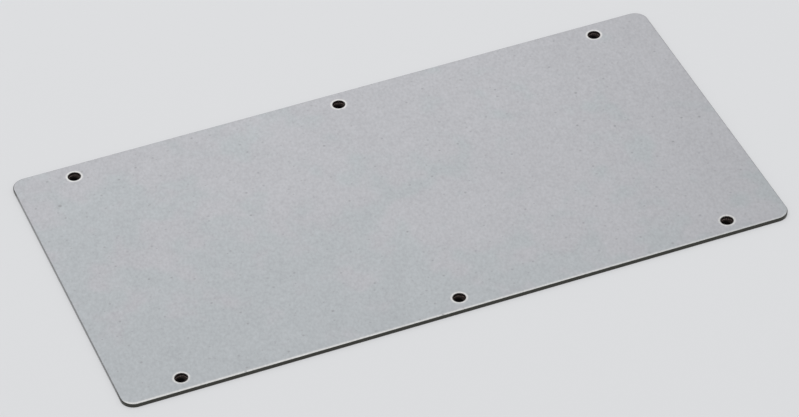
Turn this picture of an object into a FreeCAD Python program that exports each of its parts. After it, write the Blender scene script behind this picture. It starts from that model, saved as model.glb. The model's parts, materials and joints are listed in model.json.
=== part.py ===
import FreeCAD, Part

import math
import os

import Sketcher

# Blanking plate: a flat sheet of zinc-coated steel that closes a rectangular opening. It is punched out of
# one sheet, with rounded corners and a row of screw holes along each long edge. The origin is at the middle
# of the underside. +X runs along the length, +Y to the far long edge and +Z up to the face that shows.
#
# Every cut edge has the section that a punch leaves. The face is first drawn down into a small round, then
# comes a smooth upright land where the metal sheared, and below it the metal tore and leans back.

# Driving dimensions, in millimetres unless the note says otherwise
DIMENSIONS = [
    ("plate_length", 250),  # along X
    ("plate_width", 130),  # along Y
    ("sheet_thickness", 1.5),
    ("corner_radius", 5),
    ("hole_diameter", 4.5),  # medium clearance for an M4 screw
    ("end_inset", 22.5),  # short edge to the centres of the outer holes
    ("side_inset", 6.5),  # long edge to the hole centres
    ("holes_per_row", 3),  # a count
    ("hole_rows", 2),  # a count
    ("roll_radius", 0.3),  # the drawn-down round at the top of a cut
    ("land_height", 0.7),  # the sheared land under it
    ("tear_angle", 6),  # lean of the torn band below the land, in degrees
]

# Height of the torn band: what the round and the land leave of the sheet
TEAR_HEIGHT = "(Dimensions.sheet_thickness - Dimensions.roll_radius - Dimensions.land_height)"

# Ends of a line or arc in a sketch, and the sketch's own origin
START, END = 1, 2
ORIGIN = (-1, 1)


def make_dimensions(document):
    """Sheet of named driving dimensions."""
    sheet = document.addObject("Spreadsheet::Sheet", "Dimensions")
    for row, (name, value) in enumerate(DIMENSIONS, start=1):
        sheet.set(f"A{row}", name)
        sheet.set(f"B{row}", str(value))
        sheet.setAlias(f"B{row}", name)
    document.recompute()
    return sheet


def origin_plane(body, role):
    """One of the body's own three reference planes."""
    return next(plane for plane in body.Origin.OriginFeatures if plane.Role == role)


def add_sketch(body, name, role):
    """Empty sketch on one of the body's reference planes."""
    sketch = body.newObject("Sketcher::SketchObject", name)
    sketch.AttachmentSupport = (origin_plane(body, role), "")
    sketch.MapMode = "FlatFace"
    return sketch


def constrain(sketch, kind, *items):
    """Geometric constraint."""
    sketch.addConstraint(Sketcher.Constraint(kind, *items))


def dimension(sketch, name, expression, kind, *items):
    """Named size in a sketch, tied to the driving dimensions. The last item is its value as drawn."""
    index = sketch.addConstraint(Sketcher.Constraint(kind, *items))
    sketch.renameConstraint(index, name)
    sketch.setExpression("Constraints." + name, expression)


def draw_outline(body, sheet):
    """Rounded rectangle about the origin, in the plane where the land ends and the torn band begins."""
    outline = add_sketch(body, "Outline", "XY_Plane")
    outline.setExpression("AttachmentOffset.Base.z", TEAR_HEIGHT)

    radius = sheet.corner_radius
    right = sheet.plate_length / 2
    back = sheet.plate_width / 2
    centre_x = right - radius
    centre_y = back - radius

    # four edges, counter-clockwise from the front one
    edges = [
        ((-centre_x, -back), (centre_x, -back)),
        ((right, -centre_y), (right, centre_y)),
        ((centre_x, back), (-centre_x, back)),
        ((-right, centre_y), (-right, -centre_y)),
    ]
    for start, end in edges:
        outline.addGeometry(Part.LineSegment(FreeCAD.Vector(*start), FreeCAD.Vector(*end)), False)

    # four corners, each following the edge of the same place in the list above
    corners = [(centre_x, -centre_y), (centre_x, centre_y), (-centre_x, centre_y), (-centre_x, -centre_y)]
    for quarter, centre in enumerate(corners):
        circle = Part.Circle(FreeCAD.Vector(*centre), FreeCAD.Vector(0, 0, 1), radius)
        start_angle = math.radians(90 * (quarter - 1))
        end_angle = math.radians(90 * quarter)
        outline.addGeometry(Part.ArcOfCircle(circle, start_angle, end_angle), False)

    front_edge, right_edge, back_edge, left_edge = range(4)
    for edge in range(4):
        corner = edge + 4
        next_edge = (edge + 1) % 4
        constrain(outline, "Tangent", edge, END, corner, START)
        constrain(outline, "Tangent", corner, END, next_edge, START)
    for edge in (front_edge, back_edge):
        constrain(outline, "Horizontal", edge)
    for edge in (left_edge, right_edge):
        constrain(outline, "Vertical", edge)
    for corner in (5, 6, 7):
        constrain(outline, "Equal", 4, corner)
    constrain(outline, "Symmetric", front_edge, START, back_edge, START, *ORIGIN)

    dimension(outline, "length", "Dimensions.plate_length",
              "DistanceX", left_edge, START, right_edge, START, sheet.plate_length)
    dimension(outline, "width", "Dimensions.plate_width",
              "DistanceY", front_edge, START, back_edge, START, sheet.plate_width)
    dimension(outline, "corner", "Dimensions.corner_radius", "Radius", 4, radius)
    return outline


def add_sheet(body, outline):
    """The sheet itself: upright above the outline's plane, and leaning in below it where the edge tore."""
    pad = body.newObject("PartDesign::Pad", "Blank")
    pad.Profile = outline
    pad.SideType = "Two sides"
    pad.setExpression("Length", "Dimensions.sheet_thickness - " + TEAR_HEIGHT)
    pad.setExpression("Length2", TEAR_HEIGHT)
    pad.setExpression("TaperAngle2", "-Dimensions.tear_angle")
    outline.Visibility = False
    return pad


def highest_flat_face(shape):
    """Name of the shape's top face."""
    upward = [
        (face.CenterOfMass.z, number)
        for number, face in enumerate(shape.Faces, start=1)
        if face.normalAt(0, 0).z > 0.999
    ]
    return f"Face{max(upward)[1]}"


def round_top_edge(body, blank):
    """The round all the way along the top of the outer edge."""
    round_over = body.newObject("PartDesign::Fillet", "RolledEdge")
    round_over.Base = (blank, [highest_flat_face(blank.Shape)])
    round_over.setExpression("Radius", "Dimensions.roll_radius")
    return round_over


def draw_hole_section(body, sheet):
    """Half section of one punched hole, in an upright plane through the front left hole.

    The sketch's origin is on the underside at the hole's axis, which is the sketch's vertical axis.
    """
    section = add_sketch(body, "HoleSection", "XZ_Plane")
    section.setExpression("AttachmentOffset.Base.x", "Dimensions.end_inset - Dimensions.plate_length / 2")
    section.setExpression("AttachmentOffset.Base.z", "Dimensions.plate_width / 2 - Dimensions.side_inset")

    top = sheet.sheet_thickness
    radius = sheet.hole_diameter / 2
    roll = sheet.roll_radius
    tear_top = top - roll - sheet.land_height
    mouth = radius + tear_top * math.tan(math.radians(sheet.tear_angle))

    def line(start, end):
        section.addGeometry(Part.LineSegment(FreeCAD.Vector(*start), FreeCAD.Vector(*end)), False)

    line((0, top), (radius + roll, top))
    circle = Part.Circle(FreeCAD.Vector(radius + roll, top - roll), FreeCAD.Vector(0, 0, 1), roll)
    section.addGeometry(Part.ArcOfCircle(circle, math.radians(90), math.radians(180)), False)
    line((radius, top - roll), (radius, tear_top))
    line((radius, tear_top), (mouth, 0))
    line((mouth, 0), (0, 0))
    line((0, 0), (0, top))

    face, rolled, land, torn, floor, axis = range(6)
    constrain(section, "Tangent", face, END, rolled, START)
    constrain(section, "Tangent", rolled, END, land, START)
    constrain(section, "Coincident", land, END, torn, START)
    constrain(section, "Coincident", torn, END, floor, START)
    constrain(section, "Coincident", floor, END, axis, START)
    constrain(section, "Coincident", axis, END, face, START)
    constrain(section, "Coincident", floor, END, *ORIGIN)
    constrain(section, "Horizontal", face)
    constrain(section, "Horizontal", floor)
    constrain(section, "Vertical", land)
    constrain(section, "Vertical", axis)

    dimension(section, "thickness", "Dimensions.sheet_thickness",
              "DistanceY", axis, START, axis, END, top)
    dimension(section, "radius", "Dimensions.hole_diameter / 2",
              "DistanceX", *ORIGIN, land, START, radius)
    dimension(section, "roll", "Dimensions.roll_radius", "Radius", rolled, roll)
    dimension(section, "tear_height", TEAR_HEIGHT,
              "DistanceY", *ORIGIN, torn, START, tear_top)
    dimension(section, "mouth", f"Dimensions.hole_diameter / 2 + {TEAR_HEIGHT} * tan(Dimensions.tear_angle)",
              "DistanceX", *ORIGIN, torn, END, mouth)
    return section


def punch_hole(body, section):
    """The front left hole, turned about its own axis."""
    hole = body.newObject("PartDesign::Groove", "Hole")
    hole.Profile = section
    hole.ReferenceAxis = (section, ["V_Axis"])
    hole.Angle = 360
    section.Visibility = False
    return hole


def repeat_hole(body, hole, outline):
    """The whole grid of holes, from the first one to the same insets at the other ends."""
    grid = body.newObject("PartDesign::LinearPattern", "HoleGrid")
    grid.Originals = [hole]
    grid.Direction = (outline, ["H_Axis"])
    grid.setExpression("Length", "Dimensions.plate_length - 2 * Dimensions.end_inset")
    grid.setExpression("Occurrences", "Dimensions.holes_per_row")
    grid.Direction2 = (outline, ["V_Axis"])
    grid.setExpression("Length2", "Dimensions.plate_width - 2 * Dimensions.side_inset")
    grid.setExpression("Occurrences2", "Dimensions.hole_rows")
    body.Tip = grid
    return grid


def check_sketches(*sketches):
    """Each sketch is held by its dimensions alone."""
    for sketch in sketches:
        if not sketch.FullyConstrained:
            raise RuntimeError(f"{sketch.Label} is free to move")


def check_holes(rounded, hole, grid, sheet):
    """The first hole takes metal out, and every other hole takes out as much."""
    one_hole = rounded.Shape.Volume - hole.Shape.Volume
    all_holes = rounded.Shape.Volume - grid.Shape.Volume
    smallest = math.pi * (sheet.hole_diameter / 2) ** 2 * sheet.sheet_thickness
    count = sheet.holes_per_row * sheet.hole_rows
    if one_hole < smallest or abs(all_holes - count * one_hole) > 0.001 * all_holes:
        raise RuntimeError(f"the holes take out {all_holes:.3f} cubic mm, and the first one {one_hole:.3f}")


def check_document(document, bodies):
    """Nothing in the document failed, and each piece is one valid solid."""
    for item in document.Objects:
        if "Invalid" in item.State or "Error" in item.State:
            raise RuntimeError(f"{item.Label} did not recompute: {item.State}")
    for body in bodies:
        shape = body.Shape
        if shape.isNull() or not shape.isValid() or len(shape.Solids) != 1:
            raise RuntimeError(f"{body.Label} is not one valid solid")


def make_plate(document, sheet):
    """The punched sheet, the only piece."""
    body = document.addObject("PartDesign::Body", "BlankingPlate")
    body.Label = "blanking_plate"

    outline = draw_outline(body, sheet)
    blank = add_sheet(body, outline)
    document.recompute()
    rounded = round_top_edge(body, blank)
    document.recompute()
    section = draw_hole_section(body, sheet)
    hole = punch_hole(body, section)
    grid = repeat_hole(body, hole, outline)
    document.recompute()

    check_sketches(outline, section)
    check_holes(rounded, hole, grid, sheet)
    return body


document = FreeCAD.newDocument("BlankingPlate")
plate = make_plate(document, make_dimensions(document))
check_document(document, [plate])

os.makedirs("parts", exist_ok=True)
plate.Shape.exportStep(f"parts/{plate.Label}.step")
print(f"{plate.Label}: {plate.Shape.Volume:.1f} cubic mm, {len(plate.Shape.Faces)} faces, {plate.Shape.BoundBox}")
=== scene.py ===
import json
import math

import bmesh
import bpy
from mathutils import Matrix, Quaternion, Vector, noise


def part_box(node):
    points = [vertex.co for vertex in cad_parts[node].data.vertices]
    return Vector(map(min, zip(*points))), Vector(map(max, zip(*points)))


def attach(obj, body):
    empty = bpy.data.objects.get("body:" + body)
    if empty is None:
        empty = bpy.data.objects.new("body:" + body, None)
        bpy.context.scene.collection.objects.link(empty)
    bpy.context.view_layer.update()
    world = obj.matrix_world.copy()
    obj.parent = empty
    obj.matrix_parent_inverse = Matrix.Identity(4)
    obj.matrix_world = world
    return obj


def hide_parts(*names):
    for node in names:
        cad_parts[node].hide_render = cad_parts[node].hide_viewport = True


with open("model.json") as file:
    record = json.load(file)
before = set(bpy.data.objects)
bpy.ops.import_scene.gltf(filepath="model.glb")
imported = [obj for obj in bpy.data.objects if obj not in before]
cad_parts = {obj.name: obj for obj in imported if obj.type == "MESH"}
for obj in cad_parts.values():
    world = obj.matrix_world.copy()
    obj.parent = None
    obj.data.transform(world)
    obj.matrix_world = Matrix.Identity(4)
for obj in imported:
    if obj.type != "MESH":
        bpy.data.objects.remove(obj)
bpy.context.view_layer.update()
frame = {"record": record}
print("frame loaded")

# Lengths are in metres, unless a note gives another unit
up = Vector((0, 0, 1))
hair = 1e-6  # a length that counts as none
flatFrom = 0.9999  # a face is flat where its normal is at least this upright


# A Wire is one output socket. Maths on it adds the nodes, so a shader reads as plain expressions.
class Wire:
    def __init__(self, shader, socket):
        self.shader = shader
        self.socket = socket

    def maths(self, operation, first, second):
        return self.shader.node("ShaderNodeMath", {"operation": operation}, {0: first, 1: second})

    def __add__(self, other):
        return self.maths("ADD", self, other)

    def __radd__(self, other):
        return self.maths("ADD", other, self)

    def __sub__(self, other):
        return self.maths("SUBTRACT", self, other)

    def __rsub__(self, other):
        return self.maths("SUBTRACT", other, self)

    def __mul__(self, other):
        return self.maths("MULTIPLY", self, other)

    def __rmul__(self, other):
        return self.maths("MULTIPLY", other, self)

    def __lt__(self, other):
        return self.maths("LESS_THAN", self, other)

    def absolute(self):
        return self.shader.node("ShaderNodeMath", {"operation": "ABSOLUTE"}, {0: self})

    def max(self, other):
        return self.maths("MAXIMUM", self, other)

    def min(self, other):
        return self.maths("MINIMUM", self, other)


# The nodes of one material or of the world
class Shader:
    def __init__(self, owner):
        owner.use_nodes = True
        self.tree = owner.node_tree
        self.tree.nodes.clear()

    # adds a node from its type, its settings and the values or wires of its sockets
    def node(self, kind, settings=None, inputs=None, out=None):
        made = self.tree.nodes.new(kind)
        for name, value in (settings or {}).items():
            setattr(made, name, value)
        for name, value in (inputs or {}).items():
            socket = self.socket(made.inputs, name)
            if isinstance(value, Wire):
                self.tree.links.new(value.socket, socket)
            else:
                socket.default_value = value
        return Wire(self, self.socket(made.outputs, out)) if made.outputs else made

    # a socket by its place or its name, among those in use
    def socket(self, sockets, name):
        inUse = [socket for socket in sockets if socket.enabled]
        if name is None:
            return inUse[0]
        if isinstance(name, int):
            return inUse[name]
        return next(socket for socket in inUse if socket.name == name)

    def objectPoint(self):
        return self.node("ShaderNodeTexCoord", out="Object")

    def axis(self, point, name):
        return self.node("ShaderNodeSeparateXYZ", {}, {"Vector": point}, out=name)

    def distance(self, point, place):
        return self.node("ShaderNodeVectorMath", {"operation": "DISTANCE"}, {0: point, 1: place})

    def attribute(self, name):
        return self.node("ShaderNodeAttribute", {"attribute_name": name}, out="Fac")

    # soft random pattern centred on 0, with features of that size
    def grain(self, point, size, detail=2.0):
        pattern = self.node("ShaderNodeTexNoise", {}, {"Vector": point, "Scale": 1 / size, "Detail": detail})
        return pattern - 0.5

    # 0 at low and 1 at high, with a smooth rise, or a smooth fall where low is above high
    def ease(self, value, low, high):
        return self.node("ShaderNodeMapRange", {"interpolation_type": "SMOOTHSTEP"},
                         {"Value": value, "From Min": low, "From Max": high})

    def scaled(self, colour, factor):
        start = colour if isinstance(colour, Wire) else colour[:3]
        return self.node("ShaderNodeVectorMath", {"operation": "SCALE"}, {0: start, "Scale": factor})

    def blend(self, factor, first, second):
        return self.node("ShaderNodeMix", {"data_type": "RGBA"},
                         {"Factor": factor, "A": first, "B": second})

    def bump(self, height, distance):
        return self.node("ShaderNodeBump", {}, {"Height": height, "Distance": distance})


def newMaterial(name):
    material = bpy.data.materials.new(name)
    return material, Shader(material)


# The surface's sockets are given in small letters, as base_color
def finishMaterial(shader, **sockets):
    names = {name.replace("_", " ").title(): value for name, value in sockets.items()}
    surface = shader.node("ShaderNodeBsdfPrincipled", {}, names)
    shader.node("ShaderNodeOutputMaterial", {}, {"Surface": surface})


def makeObject(name, mesh):
    data = bpy.data.meshes.new(name)
    mesh.to_mesh(data)
    mesh.free()
    item = bpy.data.objects.new(name, data)
    bpy.context.scene.collection.objects.link(item)
    return item


# Camera
camera = {
    "lens": 183.86,  # mm
    "sensor": 36.0,  # mm
    "azimuth": -20.116,  # degrees from straight in front, with minus to the left
    "elevation": 40.261,  # degrees
    "roll": -2.373,  # degrees
    "distance": 1.4560,  # from the point aimed at
    "aim": (-0.00138, -0.00564, 0.0015),
}


def makeCamera():
    data = bpy.data.cameras.new("camera")
    data.lens = camera["lens"]
    data.sensor_width = camera["sensor"]
    data.sensor_fit = "HORIZONTAL"
    azimuth = math.radians(camera["azimuth"])
    elevation = math.radians(camera["elevation"])
    back = Vector((math.sin(azimuth) * math.cos(elevation),
                   -math.cos(azimuth) * math.cos(elevation),
                   math.sin(elevation)))
    item = bpy.data.objects.new("camera", data)
    item.location = Vector(camera["aim"]) + back * camera["distance"]
    item.rotation_mode = "QUATERNION"
    roll = Quaternion(up, math.radians(camera["roll"]))
    item.rotation_quaternion = (-back).to_track_quat("-Z", "Y") @ roll
    bpy.context.scene.collection.objects.link(item)
    bpy.context.scene.camera = item


# Light: a pale even surround, a broad soft lamp overhead, and a small one behind for a sheen on the face
lights = {
    "surround": (0.62, 0.62, 0.62, 1),
    "main": {"from": (-0.05, 0.12, 1.0), "strength": 1.1, "spread": 75},  # spread in degrees
    "sheen": {"place": (0.07, 0.38, 0.27), "width": 0.42, "height": 0.12, "power": 0.15},
}
backdropColour = (0.7157, 0.7230, 0.7379, 1)


def placeLamp(data, place):
    item = bpy.data.objects.new(data.name, data)
    item.location = place
    item.rotation_mode = "QUATERNION"
    item.rotation_quaternion = Vector(place).to_track_quat("Z", "Y")
    bpy.context.scene.collection.objects.link(item)


# 1 for what the camera sees, also in a reflection or through glass, and 0 for what only lights the object
def directRay(shader):
    seen, glossy, clear = [shader.node("ShaderNodeLightPath", out=name)
                           for name in ("Is Camera Ray", "Is Glossy Ray", "Is Transmission Ray")]
    return seen.max(glossy).max(clear)


def makeLights():
    main = bpy.data.lights.new("main", "SUN")
    main.energy = lights["main"]["strength"]
    main.angle = math.radians(lights["main"]["spread"])
    placeLamp(main, lights["main"]["from"])
    sheen = bpy.data.lights.new("sheen", "AREA")
    sheen.energy = lights["sheen"]["power"]
    sheen.shape = "RECTANGLE"
    sheen.size = lights["sheen"]["width"]
    sheen.size_y = lights["sheen"]["height"]
    placeLamp(sheen, lights["sheen"]["place"])

    world = bpy.data.worlds.new("surround")
    bpy.context.scene.world = world
    shader = Shader(world)
    colour = shader.blend(directRay(shader), lights["surround"], backdropColour)
    background = shader.node("ShaderNodeBackground", {}, {"Color": colour, "Strength": 1.0})
    shader.node("ShaderNodeOutputWorld", {}, {"Surface": background})


# Floor
floorPlan = {
    "size": 12.0,
    "drop": 0.00002,  # just under the sheet, so that the two never share a plane
    "colour": (0.71, 0.717, 0.732, 1),
    "glow": 0.6,  # how much of its look is the plain backdrop colour, with the rest lit and shadowed
    "shade": (0.0036, 0.0031, 0.0030, 1),  # painted shade: a dark patch on the floor that the sheet covers, seen through its holes
    "margin": 0.002,  # how far the painted shade stays inside the sheet's outline
    "foot": (0.036, 0.029, 0.027, 1),  # painted light on the floor under each hole, by its back wall, where light comes in through the hole
    "footFade": (0.0012, 0.0023),  # how far from the darkest point under a hole the painted light begins and is whole
    "paintedHoleLightShift": 0.00035,  # how far that point lies to the left of the hole's centre
}


# The painted shade under the sheet, with painted light under each hole: where it is, and its finish
def paintedShadeUnder(shader, high, holes):
    point = shader.objectPoint()
    inWidth = shader.axis(point, "X").absolute() < high.x - floorPlan["margin"]
    inDepth = shader.axis(point, "Y").absolute() < high.y - floorPlan["margin"]
    nearest = None
    for centre, radius in holes:
        away = shader.distance(point, (centre.x - floorPlan["paintedHoleLightShift"], centre.y, 0))
        nearest = away if nearest is None else nearest.min(away)
    # painted light: the floor under each hole grows lighter away from a point just left of its centre
    inPaintedHoleLight = shader.ease(nearest, *floorPlan["footFade"])
    finish = shader.node("ShaderNodeBsdfPrincipled", {},
                         {"Base Color": shader.blend(inPaintedHoleLight, floorPlan["shade"], floorPlan["foot"]),
                          "Roughness": 1.0, "Specular IOR Level": 0.0})
    return inWidth * inDepth, finish


def makeFloor(high, holes):
    mesh = bmesh.new()
    bmesh.ops.create_grid(mesh, x_segments=1, y_segments=1, size=floorPlan["size"] / 2)
    bmesh.ops.translate(mesh, vec=-up * floorPlan["drop"], verts=mesh.verts)
    floor = makeObject("floor", mesh)

    material, shader = newMaterial("studioFloor")
    lit = shader.node("ShaderNodeBsdfPrincipled", {},
                      {"Base Color": floorPlan["colour"], "Roughness": 1.0})
    plain = shader.node("ShaderNodeEmission", {}, {"Color": backdropColour})
    ground = shader.node("ShaderNodeMixShader", {},
                         {0: directRay(shader) * floorPlan["glow"], 1: lit, 2: plain})
    # painted shade under the sheet, and painted light under each hole
    paintedShadeArea, shade = paintedShadeUnder(shader, high, holes)
    surface = shader.node("ShaderNodeMixShader", {}, {0: paintedShadeArea, 1: ground, 2: shade})
    shader.node("ShaderNodeOutputMaterial", {}, {"Surface": surface})
    floor.data.materials.append(material)


# Sheet
sheet = {
    "cornerRadius": 0.005,
    "cornerSteps": 24,  # faces round each corner
    "holeSteps": 72,  # faces round each hole
    "edgeStep": 0.0006,  # length of the faces along the straight edges
    # the face sinks by this as it comes to the outline
    "sagDepth": {"frontLeft": 0.00006, "frontRight": 0.00006, "left": 0.00010, "rest": 0.00002},
    "sagWidth": 0.0012,
    "rollRadius": 0.0003,  # the round that a cut starts with
    "rollSteps": 8,
    "rollClear": 0.00005,  # the first ring of faces inside a cut is this much wider than the round
    "landHeight": 0.0007,  # the smooth band under the round
    "tearAngle": 6.0,  # lean of the torn band under that, in degrees
    "tearRows": 4,
    "tearRise": 0.00009,  # how far the torn band wanders up and down
    "tearPitch": 0.0011,  # and over what length
    "tearDepth": 0.00003,  # hollows in the torn face
    "tearGrain": 0.00035,  # and their size
    # the round is bare where its normal is less upright than this, on the outline and in a hole
    "bareFrom": {"frontLeft": 0.97, "frontRight": 0.97, "left": 0.95, "rest": 0.92},
    "boreBareFrom": 0.95,
    "rimWidth": 0.0016,  # the rubbed rim, with a painted highlight on it, from the outline in over the face
    "rimSteps": 6,
    "ringWidth": 0.0012,  # and the one round a hole
    # how rubbed the outline is, with a painted highlight strongest at the front's left end, where a hole's
    # rim is 1
    "rubAndPaintedHighlight": {"frontLeft": 1.0, "frontRight": 0.42, "left": 0.0, "rest": 0.06},
    "sideTurn": 0.005,  # how far round the corners one side fades into the next
    "sharpFrom": 40.0,  # an edge looks sharp where its faces turn by this or more, in degrees
}


def holesOf(record):
    return [(Vector(mount["pos_m"]), mount["dims"]["r_mm"] / 1000)
            for mount in record["mounts"] if mount["kind"] == "bore"]


# A share, held between none and all
def share(value):
    return min(max(value, 0), 1)


# How far a point of the sheet is from the nearest cut, and whether that is a hole's
def fromCut(point, low, high, holes):
    turn = sheet["cornerRadius"]
    x = abs(point.x - (low.x + high.x) / 2) - (high.x - low.x) / 2 + turn
    y = abs(point.y - (low.y + high.y) / 2) - (high.y - low.y) / 2 + turn
    toOutline = turn - math.hypot(max(x, 0), max(y, 0)) - min(max(x, y), 0)
    toHole = min((point - centre).xy.length - radius for centre, radius in holes)
    return min(toOutline, toHole), toHole < toOutline


# A value of the outline at that point: it changes along the front, and the left side has its own
def sideValue(point, low, high, values):
    atFront = share(1 - (point.y - low.y) / sheet["sideTurn"])
    atLeft = share(1 - (point.x - low.x) / sheet["sideTurn"]) * (1 - atFront)
    right = (point.x - low.x) / (high.x - low.x)
    front = values["frontLeft"] * (1 - right) + values["frontRight"] * right
    return atFront * front + atLeft * values["left"] + (1 - atFront - atLeft) * values["rest"]


# Outline and holes as open loops, filled flat at the height of the upper face
def drawFace(mesh, low, high, holes):
    corners = bmesh.ops.create_grid(mesh, x_segments=1, y_segments=1, size=0.5)["verts"]  # one metre square
    bmesh.ops.scale(mesh, vec=(high.x - low.x, high.y - low.y, 1), verts=corners)
    bmesh.ops.translate(mesh, vec=((low.x + high.x) / 2, (low.y + high.y) / 2, high.z), verts=corners)
    bmesh.ops.bevel(mesh, geom=corners, offset=sheet["cornerRadius"], segments=sheet["cornerSteps"],
                    profile=0.5, affect="VERTICES", material=-1)
    bmesh.ops.delete(mesh, geom=mesh.faces[:], context="FACES_ONLY")
    for edge in [edge for edge in mesh.edges if edge.calc_length() > 2 * sheet["cornerRadius"]]:
        bmesh.ops.subdivide_edges(mesh, edges=[edge], cuts=round(edge.calc_length() / sheet["edgeStep"]))
    for centre, radius in holes:
        place = Matrix.Translation((centre.x, centre.y, high.z))
        bmesh.ops.create_circle(mesh, segments=sheet["holeSteps"], radius=radius, matrix=place)
    bmesh.ops.triangle_fill(mesh, edges=mesh.edges[:], use_beauty=True, use_dissolve=False, normal=up)


# Narrow rings of faces inside every edge, then the thickness
def thicken(mesh, low, high):
    inner = mesh.faces[:]
    first = sheet["rollRadius"] + sheet["rollClear"]
    rest = (sheet["rimWidth"] - first) / sheet["rimSteps"]
    for width in [first] + [rest] * sheet["rimSteps"]:
        bmesh.ops.inset_region(mesh, faces=inner, use_boundary=True, use_even_offset=True, thickness=width)
    moved = bmesh.ops.extrude_face_region(mesh, geom=mesh.faces[:])["geom"]
    under = [item for item in moved if isinstance(item, bmesh.types.BMVert)]
    bmesh.ops.translate(mesh, vec=-up * (high.z - low.z), verts=under)
    bmesh.ops.recalc_face_normals(mesh, faces=mesh.faces[:])


def isFlat(face):
    return abs(face.normal.z) > flatFrom


# The round along the top of every cut
def rollEdges(mesh, high):
    rims = [edge for edge in mesh.edges
            if min(vert.co.z for vert in edge.verts) > high.z - sheet["rollRadius"] / 2
            and any(isFlat(face) for face in edge.link_faces)
            and not all(isFlat(face) for face in edge.link_faces)]
    bmesh.ops.bevel(mesh, geom=rims, offset=sheet["rollRadius"], segments=sheet["rollSteps"],
                    profile=0.5, affect="EDGES", loop_slide=True, clamp_overlap=False, material=-1)


# The height at which the land ends and the torn band starts
def tearTop(high):
    return high.z - sheet["rollRadius"] - sheet["landHeight"]


# The torn band: rows of faces that lean back below the land, with an uneven start and a rough face
def tearEdges(mesh, low, high):
    top = tearTop(high)
    for row in range(1, sheet["tearRows"] + 1):
        height = low.z + (top - low.z) * row / sheet["tearRows"]
        bmesh.ops.bisect_plane(mesh, geom=mesh.verts[:] + mesh.edges[:] + mesh.faces[:],
                               plane_co=(0, 0, height), plane_no=up)
    mesh.normal_update()
    lean = math.tan(math.radians(sheet["tearAngle"]))
    for vert in mesh.verts:
        if vert.co.z > top + hair or all(isFlat(face) for face in vert.link_faces):
            continue
        inward = -Vector((vert.normal.x, vert.normal.y, 0)).normalized()
        move = inward * (top - vert.co.z) * lean
        if low.z + hair < vert.co.z < top - hair:  # hollows from 0 to 1, between the band's two ends
            hollow = noise.noise(vert.co / sheet["tearGrain"]) * 0.5 + 0.5
            move += inward * hollow * sheet["tearDepth"]
        if vert.co.z > low.z + hair:
            move += up * noise.noise(vert.co / sheet["tearPitch"]) * sheet["tearRise"]
        vert.co += move


# The upper face sinks softly towards the outline
def sagEdges(mesh, low, high, holes):
    for vert in mesh.verts:
        distance, atHole = fromCut(vert.co, low, high, holes)
        if vert.co.z > high.z - sheet["rollRadius"] - hair and not atHole:
            near = share(1 - distance / sheet["sagWidth"])
            vert.co.z -= sideValue(vert.co, low, high, sheet["sagDepth"]) * near ** 2


# Marks on the finished mesh: which faces are bare steel, and how rubbed each point of the face is, which
# also places a painted highlight along the front and round the holes
def markZones(mesh, low, high, holes):
    mesh.normal_update()
    rubAndPaintedHighlight = mesh.verts.layers.float.new("rubAndPaintedHighlight")
    for vert in mesh.verts:
        distance, atHole = fromCut(vert.co, low, high, holes)
        near = share(1 - distance / sheet["ringWidth" if atHole else "rimWidth"])
        vert[rubAndPaintedHighlight] = near if atHole else near * sideValue(vert.co, low, high, sheet["rubAndPaintedHighlight"])
    for face in mesh.faces:
        face.smooth = True
        centre = face.calc_center_median()
        atHole = fromCut(centre, low, high, holes)[1]
        bareFrom = sheet["boreBareFrom"] if atHole else sideValue(centre, low, high, sheet["bareFrom"])
        if abs(face.normal.z) < bareFrom:
            face.material_index = 2 if atHole else 1  # in the order in which makeSheet adds them
    for edge in mesh.edges:
        edge.smooth = edge.calc_face_angle(0) < math.radians(sheet["sharpFrom"])


def makeSheet(low, high, holes):
    mesh = bmesh.new()
    drawFace(mesh, low, high, holes)
    thicken(mesh, low, high)
    rollEdges(mesh, high)
    tearEdges(mesh, low, high)
    sagEdges(mesh, low, high, holes)
    markZones(mesh, low, high, holes)
    openEdges = [edge for edge in mesh.edges if not edge.is_manifold]
    print("sheet:", len(mesh.faces), "faces,", len(openEdges), "open edges")
    item = makeObject("punchedSheet", mesh)
    item.data.materials.append(zincCoat(high))
    item.data.materials.append(cutSteel("cutSteel", cut["outline"], low, high))
    item.data.materials.append(cutSteel("boreSteelWithPaintedLight", cut["bore"], low, high))
    return item


# Finish of the faces
coat = {
    "warm": (0.4043, 0.4045, 0.4208, 1),  # the tint of most of the face
    "coolAndShaded": (0.384, 0.401, 0.4132, 1),  # and of the clouds in it, most of them at the near left; it is a little darker, partly painted shade
    "tintAndShadeDrift": (4.4, 7.1),  # how fast the tint drifts to warm and a little lighter, with each metre to the right and back; the darkening towards the near front is partly painted shade
    "tintCloud": (0.038, 3.3),  # size, share of that drift
    "tintPatch": (0.012, 3.3),
    "tintAndShadeTurn": (-0.6, 0.25),  # the drift at which it is all the cooler, darker tint, and all warm
    "fineGrain": (0.0009, 0.315),  # size, share of brightness
    "midGrain": (0.0021, 0.08),
    "cloud": (0.018, 0.07),
    "haze": (0.05, 0.06),
    "drawn": 1.55,  # the grain is this much longer one way
    "drawnLean": -15.0,  # that way's turn from Y in degrees, with minus to the right
    "speck": (0.30, 0.305, 0.31, 1),
    "scatter": [(0.008, 0.00066, 0.95), (0.0055, 0.00048, 0.7)],  # small specks: pitch, radius, strength
    "scatterCore": 0.3,  # the share of a small speck's radius that is all dark
    "speckCore": 0.4,  # and of a larger one's
    # the rim's lighter tone: rubbed metal and a painted highlight
    "rubbedWithPaintedHighlight": (0.545, 0.543, 0.534, 1),
    "rubAndHighlightGrain": (0.0005, 0.15),  # size and strength of the uneven end of what is rubbed and highlighted
    "rubAndHighlightTurn": (0.05, 0.5),  # where the rub and its painted highlight begin to show, and are whole
    "rubPolish": 0.1,  # how much smoother it is there
    "metallic": 0.85,
    "roughness": 0.47,
    "roughGrain": (0.003, 0.12),  # size, strength
    "pits": [(0.0004, 1.0), (0.0015, 0.6)],  # size, share of depth
    "pitDepth": 0.000015,
}
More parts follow.
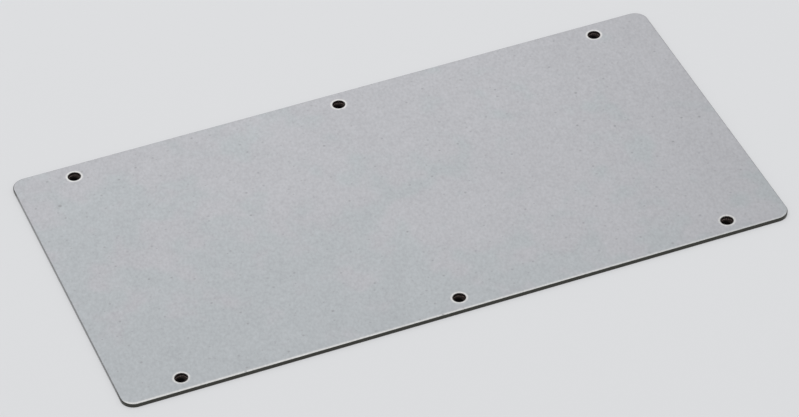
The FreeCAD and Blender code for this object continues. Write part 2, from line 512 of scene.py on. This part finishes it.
# The larger specks in the coat: place on the sheet and radius, in mm
specks = [
    (-112.4, 44.8, 0.95),
    (82.4, 29.4, 0.75),
    (-42.8, -47.4, 0.70),
    (118.1, -1.6, 0.70),
    (-13.5, 38.2, 0.70),
    (75.4, 11.8, 0.65),
    (-51.3, 12.3, 0.65),
    (-3.5, -18.6, 0.60),
]


# The coat's tint drifts from one corner to the other, with soft clouds, and is a little darker towards the
# near left, which is partly painted shade
def zincTintAndShade(shader, point):
    across, along = coat["tintAndShadeDrift"]
    drift = shader.axis(point, "X") * across + shader.axis(point, "Y") * along
    for name in ("tintCloud", "tintPatch"):
        size, part = coat[name]
        drift = drift + shader.grain(point, size) * part
    return shader.blend(shader.ease(drift, *coat["tintAndShadeTurn"]), coat["coolAndShaded"], coat["warm"])


# Small specks scattered over the coat, and the larger ones in their places
def zincSpecks(shader, point, high):
    speck = 0
    for pitch, radius, strength in coat["scatter"]:
        cells = {"Vector": point, "Scale": 1 / pitch}
        kind = {"feature": "F1", "voronoi_dimensions": "2D"}
        away = shader.node("ShaderNodeTexVoronoi", kind, cells, out="Distance")
        chance = shader.node("ShaderNodeTexVoronoi", kind, cells, out="Color")
        depth = shader.node("ShaderNodeSeparateColor", {}, {"Color": chance}, out="Red")
        edge = radius / pitch  # in cells, as the distance is
        speck = speck + shader.ease(away, edge, coat["scatterCore"] * edge) * depth * depth * strength
    for x, y, radius in specks:
        away = shader.distance(point, (x / 1000, y / 1000, high.z))
        speck = speck.max(shader.ease(away, radius / 1000, coat["speckCore"] * radius / 1000))
    return speck


def zincCoat(high):
    material, shader = newMaterial("zincCoat")
    point = shader.objectPoint()
    drawn = shader.node("ShaderNodeMapping", {"vector_type": "TEXTURE"},
                        {"Vector": point, "Rotation": (0, 0, math.radians(coat["drawnLean"])),
                         "Scale": (1, coat["drawn"], 1)})
    tone = 1
    for name in ("fineGrain", "midGrain", "cloud", "haze"):
        size, part = coat[name]
        tone = tone + shader.grain(drawn, size) * part

    # rubbed rims, with a painted highlight along the front and round the holes
    size, strength = coat["rubAndHighlightGrain"]
    rubAndPaintedHighlight = shader.attribute("rubAndPaintedHighlight") + shader.grain(point, size) * strength
    rubAndPaintedHighlight = shader.ease(rubAndPaintedHighlight, *coat["rubAndHighlightTurn"])
    speck = zincSpecks(shader, point, high)
    colour = shader.scaled(shader.blend(rubAndPaintedHighlight, zincTintAndShade(shader, point), coat["rubbedWithPaintedHighlight"]), tone)
    colour = shader.blend(speck, colour, coat["speck"])

    height = 0 - speck
    for size, part in coat["pits"]:
        height = height + shader.grain(point, size) * part
    size, part = coat["roughGrain"]
    roughness = coat["roughness"] + shader.grain(point, size) * part - rubAndPaintedHighlight * coat["rubPolish"]
    finishMaterial(shader, base_color=colour, metallic=coat["metallic"], roughness=roughness,
                   normal=shader.bump(height, coat["pitDepth"]))
    return material


# Finish of the cut: a scored land and a rough torn band, on the outline and in the holes, with painted light
# on the left side's cut and on the holes' torn band
cut = {
    "outline": {"land": (0.0463, 0.0467, 0.0390, 1), "torn": (0.0505, 0.0485, 0.0400, 1)},
    # the holes' torn band is far lighter than the outline's: painted light on the far wall of each hole
    "bore": {"land": (0.060, 0.050, 0.047, 1), "torn": (0.480, 0.387, 0.357, 1)},
    "tearWander": 0.0002,  # how unevenly the torn band begins
    "tearBlur": 0.00006,  # and how softly, to each side
    "score": (0.00022, 0.8),  # width of the upright scores in the land, share of brightness
    "scoreLength": 12.5,  # how many times longer than wide they are
    "tear": (0.00025, 1.2),  # size of the torn face's grain, share of brightness
    "tearDetail": 4,
    "depth": 0.00004,
    "scoreDepth": 0.4,  # shares of that depth
    "tearDepth": 2,
    "paintedSideLight": (0.245, 0.247, 0.247, 1),  # painted light on the cut of the left side, which stands lighter than the front's
    "paintedSideLightGain": 2.6,  # how much brighter it gets with each metre towards the back
    "paintedSideLightReach": 0.0015,  # how far in from the left side it goes
    # where it begins and is whole, from the end of each corner's round, with minus to the middle
    "paintedSideLightFade": (0.0005, -0.0070),
    "landRoughness": 0.30,
    "tornRoughness": 0.50,
    "metallic": 0.6,
}


# Painted light on the cut of the left side, lighter towards the back, apart from its ends
def paintSideLight(shader, point, colour, scores, low, high):
    along = shader.axis(point, "Y")
    start, whole = [high.y - sheet["cornerRadius"] + step for step in cut["paintedSideLightFade"]]
    atLeft = shader.axis(point, "X") < low.x + cut["paintedSideLightReach"]
    paintedSideLight = shader.scaled(cut["paintedSideLight"], 1 + scores + along * cut["paintedSideLightGain"])
    return shader.blend(shader.ease(along.absolute(), start, whole) * atLeft, colour, paintedSideLight)


def cutSteel(name, tones, low, high):
    material, shader = newMaterial(name)
    point = shader.objectPoint()
    upright = shader.node("ShaderNodeMapping", {"vector_type": "POINT"},
                          {"Vector": point, "Scale": (1, 1, 1 / cut["scoreLength"])})
    scoreWidth, scoreTone = cut["score"]
    tearSize, tearTone = cut["tear"]
    scores = shader.grain(upright, scoreWidth)
    rough = shader.grain(point, tearSize, cut["tearDetail"])

    height = shader.axis(point, "Z") + shader.grain(point, sheet["tearPitch"]) * cut["tearWander"]
    torn = shader.ease(height, tearTop(high) + cut["tearBlur"], tearTop(high) - cut["tearBlur"])
    land = shader.scaled(tones["land"], 1 + scores * scoreTone)
    tear = shader.scaled(tones["torn"], 1 + rough * tearTone)
    colour = shader.blend(torn, land, tear)
    if name == "cutSteel":
        colour = paintSideLight(shader, point, colour, scores, low, high)
    roughness = cut["landRoughness"] + torn * (cut["tornRoughness"] - cut["landRoughness"])
    relief = scores * cut["scoreDepth"] + torn * rough * cut["tearDepth"]
    finishMaterial(shader, base_color=colour, metallic=cut["metallic"], roughness=roughness,
                   normal=shader.bump(relief, cut["depth"]))
    return material


makeCamera()
makeLights()
print("camera and lights placed")

low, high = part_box("blanking_plate")
holes = holesOf(frame["record"])
makeFloor(high, holes)
punchedSheet = makeSheet(low, high, holes)
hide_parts("blanking_plate")
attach(punchedSheet, "root")
print("sheet made")

bpy.context.scene.view_settings.view_transform = "Standard"

print("finishing")
